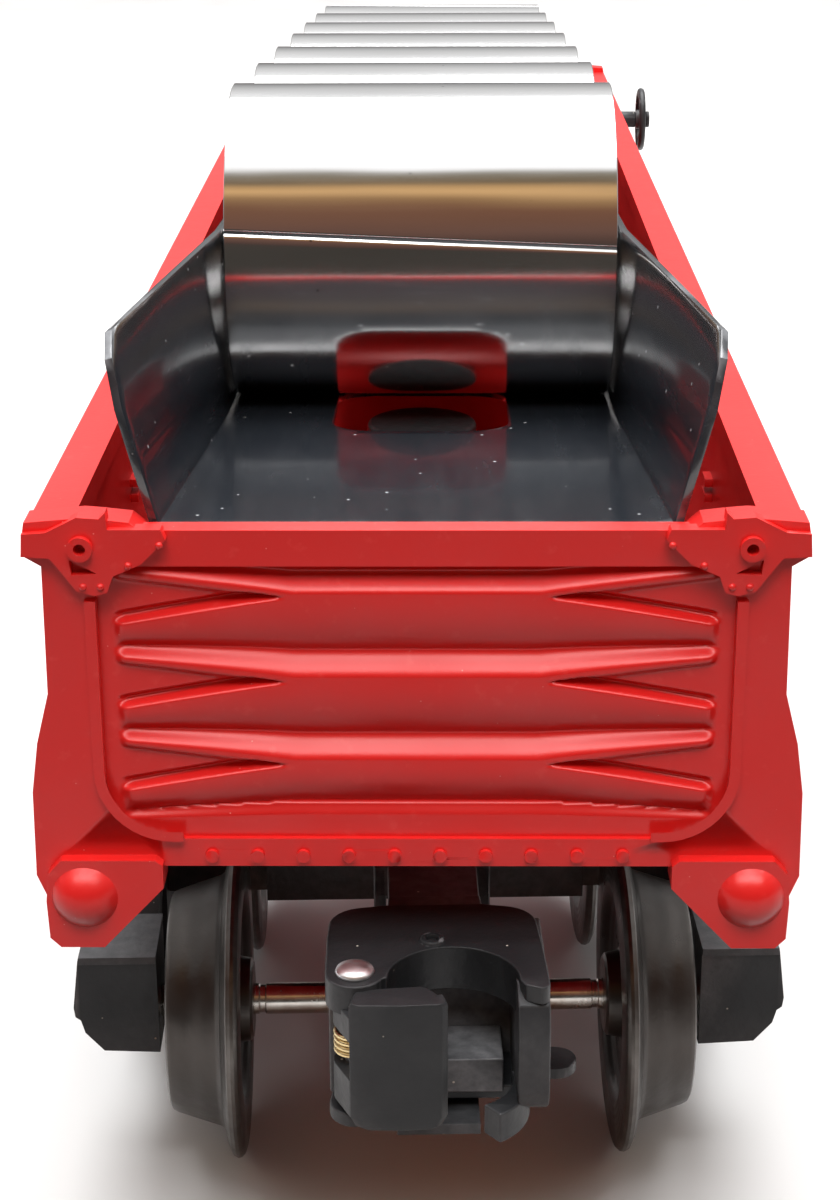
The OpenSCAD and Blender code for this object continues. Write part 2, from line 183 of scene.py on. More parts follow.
def red_plastic():
    s = Shader("red_moulding")
    s.set(Specular_IOR_Level=0.42)
    tone = s.mix(s.noise(45, 5), (0.66, 0.014, 0.013), (0.72, 0.018, 0.016))
    tone = s.mix(s.spread(s.noise(900, 3), 0.62, 0.75, 0.0, 0.5), tone, (0.76, 0.05, 0.045))
    tone = s.mix(s.specks(700, 0.04), tone, (0.8, 0.25, 0.22))
    s.link(tone, "Base Color")
    s.link(s.spread(s.noise(120, 4), 0.3, 0.7, 0.28, 0.38), "Roughness")
    s.link(s.bump(s.noise(2600, 3), 0.08, 0.0001, s.bump(s.noise(90, 2), 0.10, 0.0002)), "Normal")
    return s.material


def black_enamel():
    s = Shader("black_enamel")
    s.set(Specular_IOR_Level=0.6, Coat_Weight=0.6, Coat_Roughness=0.06)
    tone = s.mix(s.noise(60, 6), (0.010, 0.012, 0.016), (0.022, 0.026, 0.032))
    tone = s.mix(s.specks(420, 0.06), tone, (0.55, 0.56, 0.58))
    tone = s.mix(s.times(s.edges(0.54, 0.66), s.noise(700)), tone, (0.3, 0.31, 0.33))
    s.link(tone, "Base Color")
    streaks = s.noise(9, 6, 0.6, s.stretched((60, 8, 60)))
    s.link(s.spread(streaks, 0.35, 0.7, 0.14, 0.30), "Roughness")
    s.link(s.bump(s.noise(70, 2), 0.12, 0.0008, s.bump(s.noise(1500, 2), 0.04, 0.0002)), "Normal")
    return s.material


def tin_plate():
    s = Shader("tin_plate")
    s.set(Metallic=1.0)
    tone = s.mix(s.noise(6, 6, 0.6, s.stretched((6, 60, 60))), (0.70, 0.69, 0.68), (0.86, 0.86, 0.87))
    tone = s.mix(s.specks(330, 0.045), tone, (0.25, 0.24, 0.23))
    s.link(tone, "Base Color")
    s.link(s.spread(s.noise(8, 6, 0.6, s.stretched((4, 90, 90))), 0.3, 0.75, 0.09, 0.19), "Roughness")
    s.link(s.bump(s.noise(9, 2, 0.5, s.stretched((3, 14, 14))), 0.10, 0.0015), "Normal")
    return s.material


def blackened_iron(axis_name):
    s = Shader("blackened_iron_" + axis_name.lower())
    s.set(Metallic=0.75)
    tone = s.mix(s.noise(220, 6), (0.045, 0.040, 0.037), (0.085, 0.076, 0.070))
    tone = s.mix(s.times(s.edges(0.52, 0.6), s.noise(900)), tone, (0.33, 0.31, 0.29))
    s.link(tone, "Base Color")
    s.link(s.spread(s.noise(300, 5), 0.3, 0.7, 0.27, 0.46), "Roughness")
    s.link(s.bump(s.rings(axis_name, 520), 0.18, 0.0002, s.bump(s.noise(1200, 3), 0.12, 0.0002)), "Normal")
    return s.material


def black_casting():
    s = Shader("black_casting")
    s.set(Specular_IOR_Level=0.3)
    tone = s.mix(s.noise(140, 5), (0.009, 0.010, 0.011), (0.018, 0.019, 0.021))
    tone = s.mix(s.times(s.edges(0.53, 0.62), s.noise(1100)), tone, (0.20, 0.20, 0.21))
    tone = s.mix(s.specks(480, 0.05), tone, (0.5, 0.46, 0.40))
    s.link(tone, "Base Color")
    s.link(s.spread(s.noise(260, 4), 0.3, 0.7, 0.34, 0.52), "Roughness")
    s.link(s.bump(s.noise(1400, 4), 0.22, 0.0002, s.bump(s.noise(240, 3), 0.15, 0.0004)), "Normal")
    return s.material


def bare_steel(name, low, high, rough):
    s = Shader(name)
    s.set(Metallic=1.0)
    tone = s.mix(s.noise(7, 6, 0.6, s.stretched((160, 20, 20))), low, high)
    tone = s.mix(s.spread(s.noise(330, 5), 0.58, 0.75, 0.0, 0.7), tone, (0.30, 0.18, 0.11))
    s.link(tone, "Base Color")
    s.link(s.spread(s.noise(500, 4), 0.3, 0.7, rough * 0.7, rough * 1.4), "Roughness")
    s.link(s.bump(s.noise(14, 4, 0.6, s.stretched((160, 12, 12))), 0.10, 0.0002), "Normal")
    return s.material


def brass_wire():
    s = Shader("brass_wire")
    s.set(Metallic=1.0)
    s.link(s.mix(s.noise(800, 4), (0.55, 0.40, 0.18), (0.80, 0.66, 0.38)), "Base Color")
    s.link(s.spread(s.noise(900, 3), 0.3, 0.7, 0.2, 0.4), "Roughness")
    s.link(s.bump(s.noise(3000, 2), 0.1, 0.0001), "Normal")
    return s.material


RED = red_plastic()
ENAMEL = black_enamel()
TIN = tin_plate()
IRON = blackened_iron("X")
CASTING = black_casting()
STEEL = bare_steel("turned_steel", (0.50, 0.46, 0.42), (0.82, 0.79, 0.75), 0.22)
RIVET = bare_steel("bright_rivet", (0.78, 0.78, 0.80), (0.92, 0.92, 0.93), 0.34)
BRASS = brass_wire()


# Mesh helpers.
def show(name, mesh, body, material, slot, nodes=(), bevel=0.0, sharp=35, segments=2, at=(0, 0, 0), turn=0.0):
    """Adds a finished piece in metres, rounds its edges, ties it to its body and hides its CAD nodes."""
    mesh.validate()
    mesh.polygons.foreach_set("use_smooth", [True] * len(mesh.polygons))
    mesh.set_sharp_from_angle(angle=math.radians(sharp))
    mesh.materials.clear()
    mesh.materials.append(material)
    piece = bpy.data.objects.new(name, mesh)
    bpy.context.scene.collection.objects.link(piece)
    piece.location = Vector(at) * MM
    piece.rotation_euler = (0, 0, turn)
    if bevel:
        soft = piece.modifiers.new("soft_edges", "BEVEL")
        soft.width = bevel * MM
        soft.segments = segments
        soft.limit_method = "ANGLE"
        soft.angle_limit = math.radians(max(sharp, 35))
        soft.harden_normals = True
    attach(piece, body)
    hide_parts(*nodes)
    return piece


def mesh_of(build, scale=MM):
    """Runs build(bm) in millimetres and returns the mesh in metres."""
    bm = bmesh.new()
    build(bm)
    bmesh.ops.remove_doubles(bm, verts=bm.verts, dist=1e-5)
    bmesh.ops.recalc_face_normals(bm, faces=bm.faces)
    bmesh.ops.scale(bm, vec=(scale,) * 3, verts=bm.verts)
    mesh = bpy.data.meshes.new("mesh")
    bm.to_mesh(mesh)
    bm.free()
    return mesh


def prism(bm, outline, low, high, frame_map=lambda u, v, w: (u, v, w)):
    """Extrudes an outline (u, v) from w = low to w = high; frame_map says how u, v, w lie in space."""
    rings = [[bm.verts.new(frame_map(u, v, w)) for u, v in outline] for w in (low, high)]
    bm.faces.new(rings[0])
    bm.faces.new(rings[1])
    for i in range(len(outline)):
        j = (i + 1) % len(outline)
        bm.faces.new((rings[0][i], rings[0][j], rings[1][j], rings[1][i]))


def lathe(bm, profile, steps, frame_map):
    """Turns a closed profile of (radius, height) about the axis; frame_map takes (x, y, height)."""
    rings = []
    for k in range(steps):
        a = 2 * math.pi * k / steps
        rings.append([bm.verts.new(frame_map(r * math.cos(a), r * math.sin(a), h)) for r, h in profile])
    for k in range(steps):
        here, there = rings[k], rings[(k + 1) % steps]
        for i in range(len(profile)):
            j = (i + 1) % len(profile)
            bm.faces.new((here[i], here[j], there[j], there[i]))


def sheet(bm, rows):
    """Joins rows of points into a surface."""
    grid = [[bm.verts.new(p) for p in row] for row in rows]
    for a, b in zip(grid, grid[1:]):
        for i in range(len(a) - 1):
            bm.faces.new((a[i], a[i + 1], b[i + 1], b[i]))


def dome(bm, centre, radius, height, normal, rings=5, steps=20):
    """A rivet head standing on a surface at centre."""
    n = Vector(normal).normalized()
    u = n.orthogonal().normalized()
    v = n.cross(u)
    centre = Vector(centre)
    top = bm.verts.new(centre + n * height)
    last = None
    for k in range(1, rings + 1):
        a = math.pi / 2 * k / rings
        ring = []
        for i in range(steps):
            b = 2 * math.pi * i / steps
            ring.append(bm.verts.new(centre + (u * math.cos(b) + v * math.sin(b)) * radius * math.sin(a)
                                     + n * height * math.cos(a)))
        for i in range(steps):
            j = (i + 1) % steps
            if last is None:
                bm.faces.new((top, ring[i], ring[j]))
            else:
                bm.faces.new((last[i], ring[i], ring[j], last[j]))
        last = ring
    bm.faces.new(last)


def smooth_step(t):
    t = min(max(t, 0.0), 1.0)
    return t * t * (3 - 2 * t)


def lerp(a, b, t):
    return a + (b - a) * t


def bake_modifiers(piece):
    """Replaces the piece's mesh by the one that its modifiers make."""
    graph = bpy.context.evaluated_depsgraph_get()
    graph.update()
    mesh = bpy.data.meshes.new_from_object(piece.evaluated_get(graph))
    piece.modifiers.clear()
    piece.data = mesh
    mesh.polygons.foreach_set("use_smooth", [True] * len(mesh.polygons))
    mesh.set_sharp_from_angle(angle=math.radians(30))


def flatten_large_faces(mesh, least=0.8):
    """Keeps faces of more than `least` square millimetres flat where rounded edges meet them."""
    normals = [tuple(corner.vector) for corner in mesh.corner_normals]
    for face in mesh.polygons:
        if face.area > least * MM * MM:
            for k in face.loop_indices:
                normals[k] = tuple(face.normal)
    mesh.normals_split_custom_set(normals)


def from_cad(node, body, material, slot, bevel, drop=None, sharp=35):
    """A copy of a CAD node with its faces merged and its edges rounded, with its origin at its middle."""
    low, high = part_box(node)
    middle = (low + high) / 2
    bm = bmesh.new()
    bm.from_mesh(frame["nodes"][node].data)
    bmesh.ops.remove_doubles(bm, verts=bm.verts, dist=2e-6)
    if drop is not None:
        bmesh.ops.delete(bm, geom=[f for f in bm.faces if drop(f.calc_center_median() / MM)], context="FACES")
    bmesh.ops.dissolve_limit(bm, angle_limit=math.radians(0.6), verts=bm.verts, edges=bm.edges)
    bmesh.ops.translate(bm, vec=-middle, verts=bm.verts)
    mesh = bpy.data.meshes.new(node)
    bm.to_mesh(mesh)
    bm.free()
    piece = show(node + "_v", mesh, body, material, slot, [node], bevel, sharp, at=middle / MM)
    bake_modifiers(piece)
    flatten_large_faces(piece.data)
    return piece


# Body: the moulded shell, with the two pressed end panels and rivet rows laid on it.
def in_panel(p):
    return abs(p.x) < 20.2 and 37.25 < p.z < 56.15 and END_Y - 0.75 < abs(p.y) < END_Y + 0.3


from_cad("body_shell", "car", RED, "body_plastic", 0.16, drop=in_panel, sharp=14)


def panel_height(x, z):
    """How far the pressed panel stands out (+) or in (-) from its flat level, in millimetres."""
    x = abs(x)
    side = min(max((x - 7.9) / 11.3, 0.0), 1.0)
    fade = 1 - smooth_step((x - 18.6) / 0.8)
    crest, turn = 0.38, 0.66
    depth = lerp(0.62, 0.3, side)
    rows = [54.05, 48.25, 42.45]
    upper = [z_k + 1.6 * side ** 0.9 for z_k in rows] + [38.1]
    lower = [58.6] + [z_k - 1.9 * side ** 1.1 for z_k in rows]
    for k in range(4):
        if upper[k] <= z <= lower[k]:
            t = (lower[k] - z) / (lower[k] - upper[k])
            if k == 3 and t > turn:
                return fade * lerp(-0.28, 0, smooth_step((t - turn) / 0.2))
            if t < turn:
                return fade * (crest - (crest + depth) * (t / turn) ** 2.4)
            return fade * lerp(-depth, crest, smooth_step((t - turn) / (0.94 - turn)))
    for k in range(3):
        if lower[k + 1] < z < upper[k]:
            above = upper[k] - z
            below = z - lower[k + 1]
            arm = crest * max(1 - smooth_step(above / 0.55), 1 - smooth_step(below / 0.45))
            groove = smooth_step(below / 0.4) * (1 - smooth_step((below - 0.6) / 0.35))
            groove *= 0.75 * (1 - 0.55 * side) * smooth_step(above / 0.25)
            return fade * (arm - groove)
    return 0.0


def end_panel(sign):
    columns = [-20.7 + 41.4 * i / 276 for i in range(277)]
    levels = [36.9 + 19.6 * j / 196 for j in range(197)]

    def build(bm):
        def point(x, z):
            inside = 0.0 if not 37.6 < z < 56.19 else panel_height(x, z)
            return (x, sign * (END_Y - PANEL_IN + inside), z)

        sheet(bm, [[point(x, z) for x in columns] for z in levels])
        back = sign * (END_Y - 1.2)
        left, right, bottom, top = columns[0], columns[-1], levels[0], levels[-1]
        corners = [(left, bottom), (right, bottom), (right, top), (left, top)]
        bm.faces.new([bm.verts.new((x, back, z)) for x, z in corners])

    mesh = mesh_of(build)
    name = "end_panel_front" if sign < 0 else "end_panel_rear"
    return show(name, mesh, "car", RED, "body_plastic", sharp=60)


end_panel(-1)
end_panel(1)


def rivet_rows():
    def build(bm):
        for sign in (-1, 1):
            for i in range(12):
                y = -82 + i * 164 / 11
                for dy in (-1.7, 1.7):
                    for z in (38.5, 41.5, 54.6):
                        wall = 25.1 if z < 42 else 23.65
                        dome(bm, (sign * wall, y + dy, z), 0.36, 0.22, (sign, 0, 0), 3, 12)
            for y in range(-90, 91, 6):
                dome(bm, (sign * 25.1, y, 36.3), 0.36, 0.22, (sign, 0, 0), 3, 12)
            for x, z, out in ((16, 57.85, 0.8), (18, 56.5, 0.8), (19.8, 55.1, 0.8), (20.9, 55.1, 0.8)):
                for side in (-1, 1):
                    dome(bm, (side * x, sign * (END_Y + out), z), 0.26, 0.2, (0, sign, 0), 3, 12)

    return show("body_rivets", mesh_of(build), "car", RED, "body_plastic")


rivet_rows()


# Channel: one folded sheet with flared ears.
def on_slope(x, y, z):
    """A point of the channel's own frame: y down the slope from the mouth, z square to the floor."""
    along = y * math.cos(SLOPE) + z * math.sin(SLOPE)
    up = z * math.cos(SLOPE) - y * math.sin(SLOPE)
    return (x, MOUTH[1] + along, MOUTH[2] + up)


def ear_point(u, v):
    """u runs from the crease (0) to the front edge (1), v from the floor (0) to the top edge (1)."""
    low_back = Vector((TROUGH_IN, CREASE, 0))
    top_back = Vector((TROUGH_IN + 0.1, CREASE, TROUGH_H))
    front = [Vector(p) for p in ((MOUTH_IN, 0.3, 0), (17.2, -0.25, 3.5), (18.3, -0.2, 7.6),
                                 (18.95, 0.9, 10.6), (19.2, 3.0, 12.0))]
    t = v * 4
    k = min(int(t), 3)
    edge = front[k].lerp(front[k + 1], t - k)
    back = low_back.lerp(top_back, v)
    return back.lerp(edge, u) + Vector((-0.1 * math.sin(math.pi * u) * math.sin(math.pi * v), 0, 0))


def channel():
    def build(bm):
        for side in (-1, 1):
            rows = []
            for i in range(25):
                u = 1 - i / 24
                rows.append([ear_point(u, j / 16) for j in range(17)])
            rows = [[on_slope(side * p.x, p.y, p.z) for p in row] for row in rows]
            wall = []
            for i in range(41):
                y = lerp(CREASE, TROUGH_L, i / 40)
                wall.append([on_slope(side * (TROUGH_IN + 0.1 * (j / 16)), y, TROUGH_H * j / 16)
                             for j in range(17)])
            sheet(bm, rows)
            sheet(bm, wall)
        rows = []
        for i in range(25):
            y = lerp(0.3, CREASE, i / 24)
            half = lerp(MOUTH_IN, TROUGH_IN, i / 24)
            rows.append([on_slope(half * (2 * j / 30 - 1), y, 0) for j in range(31)])
        for i in range(1, 41):
            y = lerp(CREASE, TROUGH_L, i / 40)
            rows.append([on_slope(TROUGH_IN * (2 * j / 30 - 1), y, 0) for j in range(31)])
        sheet(bm, rows)
        stop = [[on_slope(TROUGH_IN * (2 * i / 12 - 1), TROUGH_L - 0.02, 13 * j / 8) for i in range(13)]
                for j in range(9)]
        sheet(bm, stop)

    piece = show("channel_sheet", mesh_of(build), "car", ENAMEL, "channel_steel", ["pipe_channel"], sharp=30)
    thick = piece.modifiers.new("thickness", "SOLIDIFY")
    thick.thickness = SHEET_T * MM
    thick.offset = -1
    thick.use_even_offset = True
    cutter = bpy.data.objects.new("slot_cutter", mesh_of(slot_cutter))
    bpy.context.scene.collection.objects.link(cutter)
    hole = piece.modifiers.new("slot", "BOOLEAN")
    hole.object = cutter
    hole.solver = "EXACT"
    soft = piece.modifiers.new("soft_edges", "BEVEL")
    soft.width = 0.12 * MM
    soft.segments = 2
    soft.limit_method = "ANGLE"
    soft.angle_limit = math.radians(50)
    bake_modifiers(piece)
    bpy.data.objects.remove(cutter)
    return piece


def rounded_outline(half_x, half_y, r, centre=(0, 0), steps=6):
    points = []
    for k, (sx, sy) in enumerate(((1, 1), (-1, 1), (-1, -1), (1, -1))):
        corner_x = centre[0] + sx * (half_x - r)
        corner_y = centre[1] + sy * (half_y - r)
        for i in range(steps + 1):
            a = math.pi / 2 * (k + i / steps)
            points.append((corner_x + r * math.cos(a), corner_y + r * math.sin(a)))
    return points


def slot_cutter(bm):
    prism(bm, rounded_outline(6.65, 7.6, 3, (0, SLOT_Y)), 50, 60)


def channel_legs():
    """An L-shaped sheet leg near each end, from the tub's floor to the underside of the channel."""
    foot_top, foot_low = 39.2, 38.55

    def build(bm):
        for y, foot in ((-98, 7), (93, -7)):
            top = MOUTH[2] - (y - MOUTH[1]) * math.tan(SLOPE) - 0.4
            heel, toe = (y, y + SHEET_T) if foot > 0 else (y + SHEET_T, y)
            profile = [(heel, top), (toe, top), (toe, foot_top), (y + foot, foot_top), (y + foot, foot_low),
                       (heel, foot_low)]
            prism(bm, profile, -8, 8, lambda u, v, w: (w, u, v))

    return show("channel_legs", mesh_of(build), "car", ENAMEL, "channel_steel", bevel=0.1)


channel()
channel_legs()


# Pipes: rolled tubes with a lapped seam and slightly uneven walls.
def pipe(i):
    """One rolled pipe. The lap of its sheet is at the seam angle and runs slightly askew."""
    centre = Vector(on_slope(0, PIPE_1_Y + (i - 1) * PIPE_PITCH, PIPE_D / 2 + 0.1))
    outer = PIPE_D / 2 - 0.03
    inner = outer - PIPE_T
    seam = math.radians(169 + (i - 1) * 47 % 360)
    skew = 0.052
    half = PIPE_L / 2
    stations = [half * k / 7 for k in range(-6, 7)]
    stations = [-half, -half + 0.06, -half + 0.3, *stations, half - 0.3, half - 0.06, half]
    wobble = [random.uniform(-1, 1) for _ in range(6)]

    def radius(a, x, base):
        ripple = sum(w * math.sin((k + 2) * a + 0.35 * k * x / half) for k, w in enumerate(wobble))
        gap = (a - seam - skew * x / half + math.pi) % (2 * math.pi) - math.pi
        step = 0.16 * math.exp(-(gap / 0.012) ** 2) if base == outer else 0
        return base + 0.012 * ripple - step

    def build(bm):
        steps = [2 * math.pi * k / 144 for k in range(144)]
        near = [seam + d for d in (-0.03, -0.014, -0.007, 0, 0.007, 0.014, 0.03)]
        angles = sorted({round(a % (2 * math.pi), 5) for a in steps + near})
        loops = []
        for base, order in ((outer, stations), (inner, stations[::-1])):
            for x in order:
                trim = 0.06 if abs(abs(x) - half) < 1e-6 else 0
                if base == outer:
                    trim = -trim
                ring = []
                for a in angles:
                    b = a + skew * x / half
                    r = radius(b, x, base) + trim
                    ring.append(bm.verts.new((x, r * math.cos(b), r * math.sin(b))))
                loops.append(ring)
        for k in range(len(loops)):
            here, there = loops[k], loops[(k + 1) % len(loops)]
            for j in range(len(angles)):
                m = (j + 1) % len(angles)
                bm.faces.new((here[j], here[m], there[m], there[j]))

    name = f"pipe_{i}"
    return show(name + "_v", mesh_of(build), name, TIN, "pipe_tin", [name], sharp=28, at=centre)


for number in range(1, 8):
    pipe(number)


# Trucks. Each is made in its own frame, pivot at the origin and coupler towards -Y, then placed.
TRUCKS = {
    "front": (Vector((0, -TRUCK_Y, 0)), math.radians(FRONT_TURN), (1, 2)),
    "rear": (Vector((0, TRUCK_Y, 0)), math.pi, (3, 4)),
}


def on_truck(truck, x, y, z):
    origin, turn, _ = TRUCKS[truck]
    return origin + Matrix.Rotation(turn, 3, "Z") @ Vector((x, y, z))


def truck_piece(truck, name, build, body, material, slot, nodes=(), centre=(0, 0, 0), **how):
    """Builds in the truck's frame about a centre and places the piece."""
    mesh = mesh_of(build)
    return show(f"{name}_{truck}", mesh, body, material, slot, nodes, at=on_truck(truck, *centre),
                turn=TRUCKS[truck][1], **how)


# A wheel's section as (radius, distance out from its back face): hub, back, flange, tread, rim, web, hub.
WHEEL_PROFILE = [
    (1.25, -0.6), (2.9, -0.6), (3.2, -0.4), (3.4, 0.7),
    (4.2, 1.0), (7.2, 1.0), (7.9, 0.6), (8.3, 0.12), (8.6, 0), (11.5, 0),
    (11.85, 0.1), (12.1, 0.35), (12.15, 0.6), (12.0, 0.9), (11.4, 1.2), (10.4, 1.4), (9.95, 1.6),
    (9.7, 1.9), (8.62, 5.2),
    (8.45, 5.55), (8.2, 5.7), (7.1, 5.7), (6.85, 5.55),
    (6.5, 4.5), (6.1, 4.3), (3.8, 3.9), (3.4, 4.1),
    (3.1, 5.5), (2.9, 5.7), (1.25, 5.7),
]
# Half an axle as (distance from its middle, radius): a groove behind each wheel and a chamfered end.
AXLE_HALF = [(12.7, 1.2), (12.8, 1.08), (13.2, 1.08), (13.3, 1.2), (23.9, 1.2), (24.0, 1.15), (24.2, 0.9)]


def wheel(truck, number, y, side):
    tag = "r" if (side > 0) == (truck == "front") else "l"
    name = f"wheel_{number}{tag}"

    def build(bm):
        lathe(bm, WHEEL_PROFILE, 96, lambda a, b, h: (side * (BACK_GAP / 2 + h), a, b))

    return show(name + "_v", mesh_of(build), name, IRON, "wheel_iron", [name], sharp=32,
                at=on_truck(truck, 0, y, FLANGE_R), turn=TRUCKS[truck][1])


def axle(truck, number, y):
    def build(bm):
        left = [(r, -x) for x, r in reversed(AXLE_HALF)]
        right = [(r, x) for x, r in AXLE_HALF]
        end = AXLE_HALF[-1][0]
        lathe(bm, [(0.01, -end), *left, *right, (0.01, end)], 40, lambda a, b, h: (h, a, b))

    name = f"axle_{number}"
    return truck_piece(truck, name, build, f"truck_{truck}", STEEL, "axle_steel", [name],
                       centre=(0, y, FLANGE_R), sharp=30)


def arc(cx, cy, r, a0, a1, steps):
    """Points of an arc about (cx, cy) from angle a0 to a1, in degrees."""
    angles = [math.radians(lerp(a0, a1, k / steps)) for k in range(steps + 1)]
    return [(cx + r * math.cos(a), cy + r * math.sin(a)) for a in angles]


def coupler(truck):
    """Head with arched throat, guard arm, pivot boss and lower loop, on a flat shank."""
    top_plate = [
        (-3.2, -33.4), (3.2, -33.4), *arc(4.4, -36.2, 2.5, 80, 10, 6), (7.1, -40.2), (7.2, -43.4),
        *arc(6.5, -44.4, 0.7, 0, -80, 3), (5.6, -44.6), *arc(0.9, -43.9, 4.4, 0, 160, 18), (-3.4, -43.4),
        *arc(*PIN, 1.95, -25, -180, 10), (-7.4, -38.0), *arc(-4.8, -36.2, 2.5, 180, 100, 6),
    ]
    loop = arc(1.4, -42.6, 4.7, -58, 20, 12) + arc(1.4, -42.0, 3.6, 12, -66, 12)
    base = [(-6.4, -36), (6.4, -36), (7.2, -38), (7.2, -41.8), (5.6, -41.2), (-2.6, -41.2), (-4.2, -43.6),
            *arc(*PIN, 1.8, -40, -180, 8)]
    throat = arc(0.9, -43.9, 4.4, 4, 165, 18) + arc(0.9, -43.7, 5.6, 165, 4, 18)
    guard = [
        (-34.6, COUPLER_TOP - 0.5), (-43.4, COUPLER_TOP - 0.6), (-45.0, COUPLER_TOP - 1.4),
        (-45.6, COUPLER_TOP - 3.0), (-45.6, HEAD_Z + 3.2), (-45.2, HEAD_Z + 2.0), (-44.2, HEAD_Z + 1.2),
        (-42.0, HEAD_Z + 0.3), (-34.6, HEAD_Z + 0.2),
    ]
    ring_rib = arc(-25, 18.3, 1.6, 180, 360, 8) + [(-23.4, 28.6), (-26.6, 28.6)]
    bump = [(0.3, -0.2), (0.95, -0.2), (0.8, 0.25), (0.45, 0.3), (0.32, 0)]

    def plate(bm, x, y0, y1, low, high):
        """A block of half width x."""
        prism(bm, [(-x, y0), (x, y0), (x, y1), (-x, y1)], low, high)

    def build(bm):
        prism(bm, top_plate, COUPLER_TOP - 1.3, COUPLER_TOP)
        prism(bm, throat, COUPLER_TOP - 3.2, COUPLER_TOP - 0.6)
        prism(bm, base, HEAD_Z, HEAD_Z + 1.0)
        prism(bm, loop, HEAD_Z, HEAD_Z + 2.2)
        prism(bm, guard, 5.1, 7.2, lambda u, v, w: (w, u, v))
        plate(bm, 6.4, -36.9, -34.8, HEAD_Z, COUPLER_TOP - 0.5)
        cheek = [(-7.3, -40.6), (-6.2, -40.6), (-6.0, -35.4), (-7.3, -35.4)]
        prism(bm, cheek, HEAD_Z + 0.3, COUPLER_TOP - 0.5)
        prism(bm, [(0.4, -41.4), (4.4, -41.4), (4.4, -37), (0.4, -37)], HEAD_Z + 0.6, HEAD_Z + 3.2)
        prism(bm, arc(*PIN, 1.95, 0, 345, 23), COUPLER_TOP - 2.2, COUPLER_TOP - 0.02)
        plate(bm, 3.2, -35, -6, 26.25, 28.75)
        prism(bm, [(-3.4, -35.4), (3.4, -35.4), (3.2, -32), (-3.2, -32)], 26.25, COUPLER_TOP - 0.1)
        for side in (-1, 1):
            near, far = sorted((side * 3.3, side * 4.2))
            prism(bm, ring_rib, near, far, lambda u, v, w: (w, u, v))
        plate(bm, 4.2, -26.6, -23.4, 26.3, 28.7)
        lathe(bm, bump, 24, lambda a, b, h: (-0.3 + a, -38.6 + b, COUPLER_TOP + h))

    return truck_piece(truck, "coupler_head", build, f"truck_{truck}", CASTING, "coupler_metal",
                       [f"coupler_{truck}"], bevel=0.28, sharp=38, segments=3)


def knuckle(truck):
    """Hinged jaw: a tall plate with a rounded back, a notch for the spring and a heel on the pin side."""
    face = [
        (-5.9, -46.1), (-5.4, -46.38), (-2.6, -46.5), (0.1, -46.38), (0.5, -46.0), (0.3, -45.0),
        *arc(-2.4, -46.2, 2.6, 25, 60, 5), (-4.0, -44.2), (-5.6, -44.6),
    ]
    heel = [(-6.9, -43.3), (-5.9, -45.6), (-3.4, -45.0), (-4.1, -42.2), *arc(*PIN, 1.5, 40, 190, 8)]
    cx, cy = -2.7, -45.6

    def build(bm):
        low, high = HEAD_Z + 0.9, COUPLER_TOP - 0.35
        levels = [(low, 1.0), (low + 0.3, 0.35), (low + 1.0, 0.0), (lerp(low, high, 0.45), 0.0),
                  (high - 0.25, 0.0), (high, 0.18)]
        rings = []
        for z, inset in levels:
            narrow = 1 - inset / 3.3
            thin = 1 - inset * 0.2
            rings.append([bm.verts.new((cx + (x - cx) * narrow, cy + (y - cy) * thin, z)) for x, y in face])
        bm.faces.new(rings[0])
        bm.faces.new(rings[-1])
        for a, b in zip(rings, rings[1:]):
            for i in range(len(face)):
                j = (i + 1) % len(face)
                bm.faces.new((a[i], a[j], b[j], b[i]))
        prism(bm, heel, HEAD_Z + 1.5, 22.9)
        prism(bm, heel, 25.7, COUPLER_TOP - 1.75)

    name = f"knuckle_{truck}"
    return truck_piece(truck, "knuckle", build, name, CASTING, "coupler_metal", [name],
                       bevel=0.3, sharp=40, segments=3)


def knuckle_pin(truck):
    """The knuckle's hinge rivet, with a flat foot and a domed head."""
    foot = [(0.01, -0.5), (0.9, -0.5), (1.1, -0.3), (1.1, 0), (0.75, 0)]
    head = [(0.75, 0), (1.25, 0), (1.3, 0.12), (1.2, 0.32), (0.8, 0.48), (0.35, 0.54), (0.01, 0.55)]

    def build(bm):
        profile = [(r, HEAD_Z + h) for r, h in foot] + [(r, COUPLER_TOP + h) for r, h in head]
        lathe(bm, profile, 36, lambda a, b, h: (PIN[0] + a, PIN[1] + b, h))

    return truck_piece(truck, "knuckle_rivet", build, f"truck_{truck}", RIVET, "rivet_steel",
                       [f"knuckle_pin_{truck}"], sharp=50)


def knuckle_spring(truck):
    """A wound torsion spring with two legs."""
    path = [Vector((PIN[0] + 1.1, PIN[1] - 3.0, 23.45)), Vector((PIN[0] + 1.2, PIN[1] - 1.4, 23.45))]
    turns = 4
    for k in range(turns * 20 + 1):
        a = -0.6 + 2 * math.pi * k / 20
        path.append(Vector((PIN[0] + 1.3 * math.cos(a), PIN[1] + 1.3 * math.sin(a), 23.45 + 0.42 * k / 20)))
    path += [Vector((PIN[0] + 2.4, PIN[1] + 1.0, 25.13)), Vector((PIN[0] + 4.2, PIN[1] + 1.2, 25.13))]

    def build(bm):
        tube(bm, path, 0.19, 10)

    return truck_piece(truck, "wound_spring", build, f"truck_{truck}", BRASS, "spring_brass",
                       [f"knuckle_spring_{truck}"], sharp=60)


